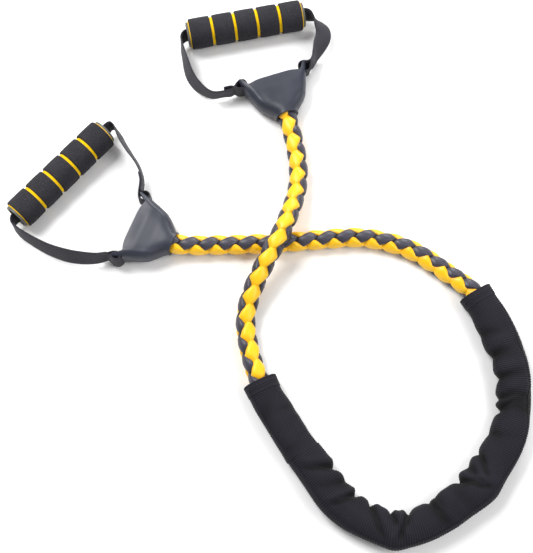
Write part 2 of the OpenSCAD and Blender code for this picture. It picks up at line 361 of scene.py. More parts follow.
@material
def sleeve_fabric(colours):
    """Ribbed weave: warp yarns over each rib, painted highlight on the rib crowns, painted shade in
    the gathers, creases and lining.
    """
    shader = Shader("sleeve_fabric", Sheen_Weight=0.03, Sheen_Roughness=0.4, Specular_IOR_Level=0.25)
    along, across = shader.uv()
    pitch = bpy.context.scene.band_sleeve.rib
    rib = (along * (2 * math.pi / pitch)).sine() * 0.5 + 0.5
    yarn = (across * (2 * math.pi / 0.0012)).sine() * 0.5 + 0.5
    fibre = shader.noise(2600.0, 2.0)
    cloud = shader.noise(28.0, 3.0)
    # painted highlight: the rib crowns and the raised yarns on them are lighter and the valleys
    # darker, as the bump stands
    tone = (rib * 0.45 + yarn * rib * 0.25 + (cloud - 0.5) * 0.5 + fibre * 0.25).clamped()
    dark, light = scaled(colours.sleeve, 0.45), scaled(colours.sleeve, 2.1)
    cloth = shader.mix(tone, dark, light)
    # painted shade: the depth attribute darkens the cloth to 0.2 of its colour in the gathers, the
    # creases and inside the sleeve
    depth = shader.node("ShaderNodeAttribute", {"attribute_name": "depth"}, output=2)
    shader.out("Base Color", shader.mix(depth.clamped(), scaled(colours.sleeve, 0.2), cloth))
    shader.out("Roughness", fibre * 0.2 + 0.68)
    shader.bump(yarn * rib * 0.6 + fibre * 0.4 + rib * 0.3, 0.00022)
    return shader


@material
def webbing(colours):
    """Flat woven webbing: slanting ribs that meet in a chevron."""
    shader = Shader("webbing", Sheen_Weight=0.05, Sheen_Roughness=0.4, Specular_IOR_Level=0.35)
    along, across = shader.uv()
    yarn = bpy.context.scene.band_webbing.yarn
    zigzag = abs((across * (2 * math.pi / 0.0065)).sine()) * 0.55
    ribs = ((along / yarn + zigzag) * (2 * math.pi)).sine() * 0.5 + 0.5
    warp = (across * (2 * math.pi / 0.0011)).sine() * 0.5 + 0.5
    fibre = shader.noise(2200.0, 2.0)
    cloud = shader.noise(40.0, 3.0)
    # painted highlight: the ribs and warp yarns are lighter where they stand up in the bump; cloud
    # is random tone
    tone = (ribs * 0.4 + warp * 0.25 + (cloud - 0.5) * 0.5 + fibre * 0.2).clamped()
    shader.out(
        "Base Color", shader.mix(tone, scaled(colours.webbing, 0.5), scaled(colours.webbing, 2.6))
    )
    shader.out("Roughness", fibre * 0.2 + 0.62)
    shader.bump(ribs * 0.7 + warp * 0.4 + fibre * 0.3, 0.0002)
    return shader


def foam(name, colour, lift):
    """Closed-cell foam: matt, with fine pores and a few larger ones."""
    shader = Shader(name, Specular_IOR_Level=0.15)
    pore = bpy.context.scene.band_grip.pore
    fine = shader.node(
        "ShaderNodeTexVoronoi", values={"Vector": shader.coordinates(), "Scale": 0.7 / pore}
    )
    coarse = shader.noise(0.5 / pore, 4.0)
    cloud = shader.noise(55.0, 3.0)
    tone = (fine * 0.7 + (cloud - 0.5) * 0.6 + (coarse - 0.5) * 0.7).clamped()
    shader.out("Base Color", shader.mix(tone, scaled(colour, 1 / lift), scaled(colour, lift)))
    shader.out("Roughness", coarse * 0.14 + 0.78)
    shader.bump(fine * 0.8 + coarse * 0.8, 0.00035)
    return shader


@material
def black_foam(colours):
    return foam("black_foam", colours.foam, 1.7)


@material
def yellow_foam(colours):
    return foam("yellow_foam", colours.liner, 1.12)


def moulding(name, colour, roughness, grain):
    """Moulded rubber or plastic: a fine grain, cloudy gloss, painted highlight on sharp edges."""
    shader = Shader(name, IOR=1.48)
    cloud = shader.noise(22.0, 4.0)
    fine = shader.noise(grain, 2.0)
    # painted highlight: sharp convex edges and ridges are made lighter
    highlight_pointiness = shader.node("ShaderNodeNewGeometry", output="Pointiness")
    edge = ((highlight_pointiness - 0.5) * 6.0).clamped()
    tone = ((cloud - 0.5) * 0.9 + 0.35 + edge * 0.6).clamped()
    shader.out("Base Color", shader.mix(tone, scaled(colour, 0.75), scaled(colour, 1.55)))
    shader.out("Roughness", cloud * 0.18 + (roughness - 0.09) + fine * 0.05)
    shader.bump(fine * 0.6 + cloud * 0.4, 0.00006)
    return shader


@material
def moulded_rubber(colours):
    return moulding("moulded_rubber", colours.hood, 0.40, 900.0)


@material
def cap_plastic(colours):
    return moulding("cap_plastic", (0.075, 0.075, 0.07), 0.5, 1100.0)


@material
def core_plastic(colours):
    return moulding("core_plastic", (0.62, 0.62, 0.60), 0.5, 800.0)


@material
def plug_plastic(colours):
    return moulding("plug_plastic", (0.055, 0.055, 0.06), 0.45, 800.0)


@material
def ferrule_steel(colours):
    shader = moulding("ferrule_steel", (0.52, 0.52, 0.54), 0.35, 1500.0)
    shader.surface.inputs["Metallic"].default_value = 1.0
    return shader


@material
def thread(colours):
    shader = Shader("thread", Roughness=0.7, Sheen_Weight=0.2)
    twist = shader.noise(1800.0, 2.0)
    shader.out("Base Color", shader.mix(twist, (0.010, 0.010, 0.013), (0.06, 0.06, 0.07)))
    shader.bump(twist, 0.0002)
    return shader


@material
def floor_paint(colours):
    shader = Shader("floor_paint", Roughness=0.9)
    cloud = shader.noise(2.0, 2.0)
    tint_low = scaled(colours.floor, 0.99)
    shader.out("Base Color", shader.mix(cloud, tint_low, colours.floor))
    return shader


# ---------------------------------------------------------------- curves and meshes
def unit_rows(rows):
    return rows / np.linalg.norm(rows, axis=1)[:, None]


class Route:
    """A smooth curve through given points, at even steps, with its heading, left and up."""

    def __init__(self, points, step):
        rows = np.array([on_plan(*p)[:] for p in points])
        padded = np.vstack([2 * rows[0] - rows[1], rows, 2 * rows[-1] - rows[-2]])
        knots = np.concatenate(
            [[0], np.cumsum(np.linalg.norm(np.diff(padded, axis=0), axis=1) ** 0.5)]
        )
        dense = [
            self.catmull(padded[i : i + 4], knots[i : i + 4], t)
            for i in range(len(rows) - 1)
            for t in np.arange(0, 1, 0.05)
        ] + [rows[-1]]
        dense = np.array(dense)
        travel = np.concatenate([[0], np.cumsum(np.linalg.norm(np.diff(dense, axis=0), axis=1))])
        self.length = travel[-1]
        self.s = np.linspace(0, self.length, max(2, round(self.length / step)) + 1)
        self.points = np.column_stack([np.interp(self.s, travel, dense[:, k]) for k in range(3)])
        self.heads = unit_rows(np.gradient(self.points, axis=0))
        self.lefts = unit_rows(np.cross([0.0, 0.0, 1.0], self.heads))
        self.ups = np.cross(self.heads, self.lefts)

    @staticmethod
    def catmull(p, t, f):
        """A centripetal spline's point, a fraction f of the way from p[1] to p[2]."""
        x = t[1] + f * (t[2] - t[1])
        a = [
            (t[i + 1] - x) / (t[i + 1] - t[i]) * p[i] + (x - t[i]) / (t[i + 1] - t[i]) * p[i + 1]
            for i in range(3)
        ]
        b = [
            (t[i + 2] - x) / (t[i + 2] - t[i]) * a[i]
            + (x - t[i]) / (t[i + 2] - t[i]) * a[i + 1]
            for i in range(2)
        ]
        return (t[2] - x) / (t[2] - t[1]) * b[0] + (x - t[1]) / (t[2] - t[1]) * b[1]

    def nearest(self, point):
        """How far along the curve a point of the layout lies."""
        gaps = np.linalg.norm(self.points - np.array(on_plan(*point)[:]), axis=1)
        return self.s[int(np.argmin(gaps))]

    def bend(self):
        """How the curve bends to its left, one over its radius, smoothed."""
        turn = np.gradient(self.heads, self.s, axis=0)
        return np.convolve((turn * self.lefts).sum(axis=1), np.ones(21) / 21, "same")


class MeshParts:
    """Vertices, faces and texture places gathered from several swept pieces."""

    def __init__(self):
        self.verts, self.faces, self.uvs, self.slots, self.depth = [], [], [], [], []

    def sweep(self, rings, along, around, slot=0, closed=True, caps=True, depth=None):
        """Joins rings of points into a skin; along and around are its texture places."""
        base, (count, sides) = len(self.verts), rings.shape[:2]
        self.verts.extend(map(tuple, rings.reshape(-1, 3)))
        self.depth.extend(np.ones(count * sides) if depth is None else depth.reshape(-1))
        spans = sides if closed else sides - 1
        for i in range(count - 1):
            for j in range(spans):
                k = (j + 1) % sides
                a, b = base + i * sides, base + (i + 1) * sides
                self.faces.append((a + j, a + k, b + k, b + j))
                v0, v1 = around[j], around[j + 1]
                self.uvs.extend(
                    [(along[i], v0), (along[i], v1), (along[i + 1], v1), (along[i + 1], v0)]
                )
                self.slots.append(slot)
        if caps:
            first = [base + j for j in range(sides)]
            final = [base + (count - 1) * sides + j for j in range(sides)]
            for face, s in ((first[::-1], along[0]), (final, along[-1])):
                self.faces.append(tuple(face))
                self.uvs.extend([(s, around[0])] * sides)
                self.slots.append(slot)

    def made(self, name, *materials):
        mesh = bpy.data.meshes.new(name)
        mesh.from_pydata(self.verts, [], self.faces)
        layer = mesh.uv_layers.new(name="UVMap")
        layer.data.foreach_set("uv", np.array(self.uvs, dtype=float).ravel())
        # the depth attribute sets painted shade: the elastic and the sleeve darken where it is low
        store = mesh.attributes.new("depth", "FLOAT", "POINT")
        store.data.foreach_set("value", np.array(self.depth, dtype=float))
        for one in materials:
            mesh.materials.append(one)
        mesh.polygons.foreach_set("material_index", self.slots)
        mesh.polygons.foreach_set("use_smooth", [True] * len(mesh.polygons))
        mesh.update()
        return linked(name, mesh)


def linked(name, data):
    made = bpy.data.objects.new(name, data)
    bpy.context.scene.collection.objects.link(made)
    return made


def around_places(sides, girth):
    return np.linspace(0, girth, sides + 1)


def smooth_step(low, high, x):
    t = np.clip((x - low) / (high - low), 0, 1)
    return t * t * (3 - 2 * t)


def hump(x):
    """A smooth bump: one at nought, next to nothing past two."""
    return np.exp(-(x**2))


def squared(x, power):
    """Pushes a sine or cosine towards a square wave: the smaller the power, the squarer."""
    return np.sign(x) * np.abs(x) ** power


def finished(piece, *modifiers):
    """The piece with its modifiers applied, as a plain mesh."""
    for kind, settings in modifiers:
        modifier = piece.modifiers.new(kind.title(), kind)
        for key, value in settings.items():
            setattr(modifier, key, value)
    graph = bpy.context.evaluated_depsgraph_get()
    mesh = bpy.data.meshes.new_from_object(
        piece.evaluated_get(graph), preserve_all_data_layers=True, depsgraph=graph
    )
    piece.modifiers.clear()
    piece.data = mesh
    return piece


def outward(piece):
    """Turns a closed mesh's faces outwards."""
    work = bmesh.new()
    work.from_mesh(piece.data)
    bmesh.ops.remove_doubles(work, verts=work.verts, dist=1e-7)
    bmesh.ops.recalc_face_normals(work, faces=work.faces)
    work.to_mesh(piece.data)
    work.free()
    return piece


# ---------------------------------------------------------------- cord
def cord_route(step):
    left, right = HOODS["left"], HOODS["right"]
    return Route(
        [left.plan(x, 0) for x in (CORD_IN_HOOD, 18, 0)]
        + LEFT_RUN + SLEEVE_RUN + RIGHT_RUN
        + [right.plan(x, 0) for x in (0, 18, CORD_IN_HOOD)],
        step,
    )


# Least height over the floor, and how near to the cord's middle a strand counts as deepest, where
# its painted shade is darkest
FLOOR_GAP, DIVE = 0.0003, 0.0045
# Turn of the yellow strands' crowns from straight up towards the left, in degrees, along the cord
BRAID_TURN = (
    ((-80, 32, 12), 92), ((12, 35, 10), 88), ((107, 41, 10), 92), ((183, 10, 10), 112),
    ((222, -23, 12), 122), ((-7, -119, 12), 148), ((-22, -50, 12), 158), ((13, 34, 30), 176),
    ((28, 74, 20), 190), ((31, 168, 12), 206),
)


def braid_half(name, route, start, end):
    """Four flattened strands that weave round the route: two yellow one way, two dark the other."""
    sizes = bpy.context.scene.band_cord
    turn_at = [route.nearest(place) for place, _ in BRAID_TURN]
    keep = (route.s >= start) & (route.s <= end)
    s = route.s[keep]
    centre, left, up = route.points[keep], route.lefts[keep], route.ups[keep]
    turn = np.radians(np.interp(s, turn_at, [angle for _, angle in BRAID_TURN]))
    crown = sizes.diameter / 2 - sizes.half_height
    middle = crown - sizes.weave
    sides = 16
    ring = np.arange(sides) * 2 * math.pi / sides
    squareness = 0.5
    flat_x, flat_y = squared(np.cos(ring), squareness), squared(np.sin(ring), squareness)
    girth = 2 * math.pi * 0.75 * sizes.half_width
    parts = MeshParts()
    for slot, hand, share in ((0, -1, 1.08), (1, 1, 0.90)):
        for phase in (0.0, math.pi):
            even = hand * 2 * math.pi * s / sizes.pitch + phase
            slower = sizes.lag * np.sin(2 * even) + hand * sizes.hold * np.sin(4 * even)
            angle = even + hand * slower
            over = -hand * np.cos(2 * angle)
            radius = middle + sizes.weave * over
            out = np.cos(angle + turn)[:, None] * up + np.sin(angle + turn)[:, None] * left
            path = centre + radius[:, None] * out
            head = unit_rows(np.gradient(path, axis=0) + 0.9 * np.gradient(centre, axis=0))
            wide = unit_rows(np.cross(head, out))
            high = np.cross(wide, head)
            half_w = share * sizes.half_width * (0.98 + 0.02 * over)
            half_h = sizes.half_height * (1.04 - 0.04 * over)
            # the edges wrap down round the strands beneath
            hug = -0.26 * half_w[:, None] * flat_x**2 * (0.6 + 0.4 * over)[:, None]
            rings = (
                path[:, None, :]
                + (half_w[:, None] * flat_x)[:, :, None] * wide[:, None, :]
                + (half_h[:, None] * flat_y + hug)[:, :, None] * high[:, None, :]
            )
            rings[:, :, 2] = np.maximum(rings[:, :, 2], FLOOR_GAP)
            # depth: painted shade, darkest where the strand dives nearest the cord's middle
            reach = np.linalg.norm(rings - centre[:, None, :], axis=2)
            depth = np.clip((reach - DIVE) / (sizes.diameter / 2 - DIVE), 0, 1)
            parts.sweep(rings, s, around_places(sides, girth), slot=slot, depth=depth)
    piece = parts.made(name, yellow_elastic(), dark_elastic())
    return outward(piece), centre


class BAND_OT_cord(bpy.types.Operator):
    """Build the braided cord in two halves, which part under the sleeve"""

    bl_idname = "band.cord"
    bl_label = "Build Cord"

    def execute(self, context):
        route = cord_route(0.0012)
        parting = route.nearest(SLEEVE_RUN[8])
        spans = {"left": (0.0, parting), "right": (parting, route.length)}
        reach = {
            "left": (on_plan(112, 41, 10), on_plan(-84, 34, 12)),
            "right": (on_plan(13, 48, 28), on_plan(29, 180, 13)),
        }
        for side, (start, end) in spans.items():
            piece, path = braid_half(f"{side}_braid", route, start, end)
            if side == "right":
                path = path[::-1]
            path = [Vector(p) for p in path[::4]] + [Vector(path[-1])]
            long = sum((b - a).length for a, b in zip(path, path[1:]))
            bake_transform(piece)
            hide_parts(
                "yellow_strand_1", "yellow_strand_2", "black_strand_1", "black_strand_2"
            )
        return {"FINISHED"}


# ---------------------------------------------------------------- sleeve
# Gathers on the inner side of the bend: share of the sleeve's length, depth and half width in
# millimetres, and the slant in millimetres of the crease that each sends over the top
GATHERS = (
    (0.085, 1.6, 8, 4), (0.140, 2.4, 6, -5), (0.189, 3.4, 6, -3), (0.236, 2.8, 5, -5),
    (0.262, 5.2, 5, -10), (0.318, 1.2, 7, -4), (0.368, 3.4, 5, 15), (0.405, 2.2, 6, 6),
    (0.443, 5.2, 5, -11), (0.505, 1.8, 6, -3), (0.522, 2.6, 5, -4), (0.572, 6.0, 4, 10),
    (0.617, 3.6, 4, -8), (0.668, 4.4, 5, -15), (0.706, 5.2, 4, 8), (0.742, 2.0, 6, 9),
    (0.777, 4.4, 5, 12), (0.860, 0.8, 9, -4),
)
# Where the outer side stands off: share of the length, and height and half width in millimetres
SLACK = ((0.238, 0.8, 22), (0.412, 2.4, 13), (0.606, 2.8, 9), (0.470, -1.0, 10), (0.660, -0.9, 12))


def sleeve_rings(route, sizes, sides, rng):
    """The sleeve's skin: an oval that lies on the floor, gathered on the inner side of the bend."""
    phi = np.arange(sides) * 2 * math.pi / sides
    s, girdle = route.s[:, None], phi[None, :]
    bend = route.bend()[:, None]
    inner = np.sign(bend) * np.cos(girdle)

    # gathers: a sharp valley on the inner side, whose crease runs slantwise over the top
    on_inner = smooth_step(-0.25, 0.95, inner)
    over_top = smooth_step(-0.9, 0.1, inner) * (1 - 0.45 * on_inner)
    end_fade = smooth_step(0.012, 0.05, s) * smooth_step(0.012, 0.05, route.length - s)
    gather = 0.0
    for share, deep, narrow, slant in GATHERS:
        away = (s - share * route.length - slant * MM * (1 - inner)) / (narrow * MM)
        gather = gather - sizes.gather * deep * MM * np.exp(-(np.abs(away) ** 1.2)) * on_inner
        puff = 0.8 * hump((away - 1.6 * np.sign(slant)) / 0.9)
        crease = hump(away / 0.7) - puff
        gather = gather - sizes.crease * deep * MM * crease * over_top
    slack = 0.0
    for share, high, broad in SLACK:
        away = (s - share * route.length) / (broad * MM)
        slack = slack + high * MM * hump(away) * smooth_step(0.0, -0.8, inner)
    swell = 0.0010 * on_inner * end_fade + slack

    # slack folds that run slantwise over the top, and slow unevenness
    fold = np.zeros_like(gather)
    for _ in range(16):
        at, lean = rng.uniform(0.03, route.length - 0.03), rng.uniform(-0.012, 0.012)
        narrow, deep = rng.uniform(0.004, 0.010), rng.uniform(0.0006, 0.0015)
        middle, spread = rng.uniform(0.3, 2.8), rng.uniform(0.5, 1.1)
        away = (s - at - lean * (girdle - middle)) / narrow
        fold -= deep * hump(away) * hump((girdle - middle) / spread)
    uneven = 0.0009 * np.sin(s * 37 + 2 * girdle) + 0.0006 * np.sin(s * 83 - girdle + 1.3)

    # ribs across the length, a hem at each mouth and a felled seam along the outer shoulder
    ribs = sizes.rib_height * np.sin(2 * math.pi * s / sizes.rib)
    from_mouth = np.minimum(s, route.length - s)
    hem = 0.0006 * (1 - smooth_step(sizes.hem - 0.0006, sizes.hem + 0.0006, from_mouth))
    flare = 0.0012 * (1 - smooth_step(0.0, 0.02, from_mouth))
    seam_at = np.where(bend > 0, math.pi - 0.62, 0.62)
    seam = 0.0006 * hump((girdle - seam_at) / 0.045)
    groove = -0.0007 * hump((girdle - seam_at - 0.13) / 0.05)

    grow = gather + swell + fold + uneven * end_fade + ribs + hem + flare + seam + groove
    mouth = 1 - 0.10 * (1 - smooth_step(0.0, 0.045, from_mouth))
    half_w = sizes.half_width * mouth + grow
    half_h = sizes.half_height + 0.0006 + grow * 0.85
    square = 0.88
    across = half_w * squared(np.cos(girdle), square)
    above = half_h * squared(np.sin(girdle), square)
    lowest = -(SLEEVE_Z * MM) + 0.0002
    above = np.maximum(above, lowest)
    # the cloth stays off the cord, however deep the gathers are
    reach = np.hypot(across, above)
    least, soft = sizes.clear, 0.0008
    kept = 0.5 * (reach + least + np.sqrt((reach - least) ** 2 + soft**2))
    across, above = across * kept / reach, np.maximum(above * kept / reach, lowest)
    rings = (
        route.points[:, None, :]
        + across[:, :, None] * route.lefts[:, None, :]
        + above[:, :, None] * np.array([0, 0, 1.0])
    )
    # painted shade for the cloth: darker the deeper the gathers and folds sink
    sunk = -(gather + fold) / (2.2 * MM)
    return rings, np.clip(1.0 - sunk, 0.0, 1.0)


class BAND_OT_sleeve(bpy.types.Operator):
    """Build the ribbed fabric sleeve, with its hems and gathers"""

    bl_idname = "band.sleeve"
    bl_label = "Build Sleeve"

    def execute(self, context):
        sizes = context.scene.band_sleeve
        rng = random.Random(11)
        sides, fine = 76, sizes.rib / 4
        route = Route([(x, y, SLEEVE_Z) for x, y, _ in SLEEVE_RUN], fine)
        outer, depth = sleeve_rings(route, sizes, sides, rng)
        middle = route.points[:, None, :]
        spokes = outer - middle
        reach = np.linalg.norm(spokes, axis=2, keepdims=True)
        lining = middle + spokes * (1 - sizes.wall / reach)
        coarse = np.unique(np.append(np.arange(0, len(route.s), 5), len(route.s) - 1))
        girth = math.pi * (sizes.half_width + sizes.half_height)
        lip = 0.5 * (outer[[0, -1]] + lining[[0, -1]])
        rim, shade_inside = 0.0004, 0.3
        first, last = lip[:1] - rim * route.heads[0], lip[1:] + rim * route.heads[-1]
        rings = np.concatenate([first, outer, last, lining[coarse][::-1], first])
        along = np.concatenate([[0.0], route.s, [route.length], route.s[coarse][::-1], [0.0]])
        parts = MeshParts()
        # painted shade on the lining inside the sleeve
        inside = np.full((len(rings) - len(outer) - 1, sides), shade_inside)
        depth = np.concatenate([np.ones((1, sides)), depth, inside])
        parts.sweep(rings, along, around_places(sides, girth), caps=False, depth=depth)
        piece = outward(parts.made("sleeve_cloth", sleeve_fabric()))
        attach(piece, "band")
        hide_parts("sleeve")
        stitches = self.stitches(route, outer, sizes)
        return {"FINISHED"}

    def stitches(self, route, outer, sizes):
        """Two rounds of thread at each mouth."""
        lines = []
        count = len(route.s)
        for inset in (sizes.hem * 0.30, sizes.hem * 0.86):
            for row in (inset, route.length - inset):
                i = min(count - 1, int(round(row / route.length * (count - 1))))
                loop = list(outer[i]) + [outer[i][0]]
                lines.append(loop)
        piece = stitch_rows("sleeve_threads", lines, pitch=0.0026, long=0.0017, thick=0.0003)
        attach(piece, "band")
        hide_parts("sleeve_stitching")
        return piece


# ---------------------------------------------------------------- stitches, by Geometry Nodes
def stitch_tree():
    """A tree that lays stitches end to end along edges: pitch, length and thickness go in."""
    tree = bpy.data.node_groups.get("stitch_rows")
    if tree:
        return tree
    tree = bpy.data.node_groups.new("stitch_rows", "GeometryNodeTree")
    sockets = tree.interface
    sockets.new_socket("Geometry", in_out="INPUT", socket_type="NodeSocketGeometry")
    for label in ("Pitch", "Stitch Length", "Thickness"):
        sockets.new_socket(label, in_out="INPUT", socket_type="NodeSocketFloat")
    sockets.new_socket("Material", in_out="INPUT", socket_type="NodeSocketMaterial")
    sockets.new_socket("Geometry", in_out="OUTPUT", socket_type="NodeSocketGeometry")
    new = tree.nodes.new
    start, end = new("NodeGroupInput"), new("NodeGroupOutput")
    curve = new("GeometryNodeMeshToCurve")
    spaced = new("GeometryNodeResampleCurve")
    spaced.mode = "LENGTH"
    bead = new("GeometryNodeMeshUVSphere")
    bead.inputs["Segments"].default_value = 8
    bead.inputs["Rings"].default_value = 5
    bead.inputs["Radius"].default_value = 0.5
    size = new("ShaderNodeCombineXYZ")
    shaped = new("GeometryNodeTransform")
    tangent = new("GeometryNodeInputTangent")
    aim = new("FunctionNodeAlignRotationToVector")
    aim.axis = "Z"
    place = new("GeometryNodeInstanceOnPoints")
    real = new("GeometryNodeRealizeInstances")
    paint = new("GeometryNodeSetMaterial")
    for source, label, target, socket in (
        (start, "Geometry", curve, "Mesh"),
        (curve, "Curve", spaced, "Curve"),
        (start, "Pitch", spaced, "Length"),
        (start, "Thickness", size, "X"),
        (start, "Thickness", size, "Y"),
        (start, "Stitch Length", size, "Z"),
        (bead, "Mesh", shaped, "Geometry"),
        (size, "Vector", shaped, "Scale"),
        (tangent, "Tangent", aim, "Vector"),
        (spaced, "Curve", place, "Points"),
        (shaped, "Geometry", place, "Instance"),
        (aim, "Rotation", place, "Rotation"),
        (place, "Instances", real, "Geometry"),
        (real, "Geometry", paint, "Geometry"),
        (start, "Material", paint, "Material"),
        (paint, "Geometry", end, "Geometry"),
    ):
        tree.links.new(source.outputs[label], target.inputs[socket])
    return tree


def stitch_rows(name, lines, pitch, long, thick):
    """One piece of stitches along every line of points."""
    verts, edges = [], []
    for line in lines:
        base = len(verts)
        verts.extend(map(tuple, line))
        edges.extend((base + i, base + i + 1) for i in range(len(line) - 1))
    mesh = bpy.data.meshes.new(name)
    mesh.from_pydata(verts, edges, [])
    piece = linked(name, mesh)
    tree = stitch_tree()
    modifier = piece.modifiers.new("Stitches", "NODES")
    modifier.node_group = tree
    values = {
        "Pitch": pitch, "Stitch Length": long, "Thickness": thick, "Material": thread(),
    }
    for item in tree.interface.items_tree:
        if item.in_out == "INPUT" and item.name in values:
            modifier[item.identifier] = values[item.name]
    piece.update_tag()
    finished(piece)
    if not piece.data.materials:
        piece.data.materials.append(thread())
    return piece


# ---------------------------------------------------------------- hoods
HOOD_HALF_W = ((-3, 13.4), (0, 13.8), (4, 18.0), (10, 24.0), (16, 28.4), (28, 33.2),
               (35, 35.2), (44.5, 38.4), (53.5, 41.2))
# In metres, along the hood and round it: the size of its texture places
HOOD_LONG, HOOD_GIRTH = 0.054, 0.15
# In millimetres: the wall, and where the slot behind each ear's bar stands and how large it is
HOOD_WALL = 2.7
SLOT_AT, SLOT_SIZE = (42.5, 36.0), (3.0, 22.0, 20.6)
HOOD_HALF_H = ((-3, 12.9), (0, 13.2), (6, 13.6), (16, 13.9), (30, 13.9), (40, 13.9), (56, 13.6))


def hood_shell():
    """The hood's skin in its own frame, in millimetres: a fan that widens from neck to ears."""
    sides, rows = 96, 56
    phi = np.arange(sides) * 2 * math.pi / sides
    c, s = np.cos(phi), np.sin(phi)
    near = np.abs(c)
    lip_top = 46.0 - 3.0 * smooth_step(0.0, 0.55, near) + 10.0 * smooth_step(0.50, 0.78, near)
    lip_low = 47.5 - 3.0 * smooth_step(0.0, 0.55, near) + 6.5 * smooth_step(0.55, 0.80, near)
    lip = np.where(s >= 0, lip_top, lip_low)
    u = np.linspace(0, 1, rows)[:, None] ** 0.9
    x = -3 + (lip[None, :] + 3) * u
    wx, wy = zip(*HOOD_HALF_W)
    hx, hy = zip(*HOOD_HALF_H)
    half_w = np.interp(x, wx, wy)
    half_h = np.interp(x, hx, hy)
    blend = smooth_step(2, 22, x)
    power = 1 - 0.38 * blend - 0.28 * smooth_step(22, 46, x)
    y = half_w * squared(c, power * 0.95)
    z = half_h * squared(s, power)
    across = np.clip(np.abs(y) / half_w, 0, 1)
    ridge = hump((across - 0.80) / 0.10) * 0.9 * blend
    dish = -1.3 * hump(across / 0.55) * blend * (1 - smooth_step(34, 46, x))
    top = s > 0
    z = z + np.where(top, ridge + dish, 0.0)
    droop = smooth_step(31.5, 47.5, x) * (1 - smooth_step(0.75, 1.0, across))
    z = z - np.where(top, 1.3 * droop, 0.0)
    ear_drop = smooth_step(37.5, 51.5, x) * smooth_step(0.8, 1.0, across)
    z = z * (1 - 0.04 * ear_drop)
    return np.stack([x, y, z], axis=2)


class BAND_OT_hoods(bpy.types.Operator):
    """Build the two moulded rubber hoods"""

    bl_idname = "band.hoods"
    bl_label = "Build Hoods"

    def execute(self, context):
        skin = hood_shell()
        for side, hood in HOODS.items():
            parts = MeshParts()
            rows, sides = skin.shape[:2]
            along, around = np.linspace(0, HOOD_LONG, rows), around_places(sides, HOOD_GIRTH)
            parts.sweep(skin, along, around, caps=False)
            piece = parts.made(f"{side}_hood_moulding", moulded_rubber())
            if self.inward(piece):
                piece.data.flip_normals()
            wall = {"thickness": HOOD_WALL, "offset": -1.0, "use_even_offset": True}
            finished(piece, ("SOLIDIFY", wall))
            for sign in (-1, 1):
                self.slot(piece, sign)
            finished(piece, (
                "BEVEL", {"width": 0.45, "segments": 2, "limit_method": "ANGLE",
                          "angle_limit": math.radians(50)}))
            piece.data.transform(hood.matrix())
            for face in piece.data.polygons:
                face.use_smooth = True
            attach(piece, f"{side}_end")
            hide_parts(f"{side}_hood")
        return {"FINISHED"}

    @staticmethod
    def inward(piece):
        """True if the skin's faces look at its middle line."""
        face = piece.data.polygons[len(piece.data.polygons) // 2]
        return face.normal.dot(Vector((0, face.center.y, face.center.z))) < 0

    @staticmethod
    def slot(piece, sign):
        """Cuts the slot behind one ear's bar, where the webbing passes."""
        bpy.ops.mesh.primitive_cube_add(size=1, location=(0, 0, 0))
        cutter = bpy.context.object
        cutter.data.transform(Matrix.Diagonal((*SLOT_SIZE, 1.0)))
        cutter.data.transform(Matrix.Translation((SLOT_AT[0], sign * SLOT_AT[1], 0)))
        cutter.data.materials.append(moulded_rubber())
        bpy.context.view_layer.update()
        finished(piece, ("BOOLEAN", {"operation": "DIFFERENCE", "object": cutter,
                                     "solver": "EXACT"}))
        bpy.data.objects.remove(cutter)


# ---------------------------------------------------------------- straps
# Round the bar of an ear: in from the tab, and out in front of the bar or at its outer side
EAR_WRAP = {
    "left": ((53.1, 33.5), (48.5, 31.8), (43.5, 31.8), (42.3, 34.5), (42.3, 39.0), (44.3, 42.0),
             (48.5, 42.8), (52.9, 41.2)),
    "right": ((43.5, 42.8), (42.3, 39.0), (42.3, 34.8), (43.9, 32.4), (48.5, 32.0), (52.0, 34.0),
              (52.8, 38.5), (51.5, 41.6)),
}


# How far in front of the hood's neck the webbing's bend starts and ends, in millimetres
WEBBING_BENDS = (52.5, 88.0)


def ear_wrap(side, sign):
    """The webbing round one ear's bar, in the layout's millimetres."""
    return [HOODS[side].plan(x, sign * y) for x, y in EAR_WRAP[side]]


def strap_points(side):
    """The whole webbing: tab, wrap, out to the grip, through it, back, wrap and tab."""
    out, back = STRAP_OUT[side], STRAP_BACK[side]
    gx, gy, turn = GRIP_PLAN[side]
    c, s = math.cos(math.radians(turn)), math.sin(math.radians(turn))
    grip = [(gx + t * c, gy + t * s, GRIP_Z) for t in (69, 40, 0, -40, -69)]

    def tab(run, inward):
        """The folded end: beside the strap's first stretch, on its inner side."""
        near = [Vector(p) for p in run]
        lift = Vector((0, 0, 1.2))
        made = []
        for i in (1, 0):
            ahead = near[min(i + 1, len(near) - 1)] - near[max(i - 1, 0)]
            beside = Vector((-ahead.y, ahead.x, 0)).normalized()
            spread = 2.1 + 0.5 * (i == 1)
            made.append(tuple(near[i] + beside * inward * spread + lift))
        return made

    first, last = ear_wrap(side, -1), ear_wrap(side, 1)
    return (
        tab(out, 1) + first + out + grip + back + last[::-1] + tab(back[::-1], -1)[::-1]
    )


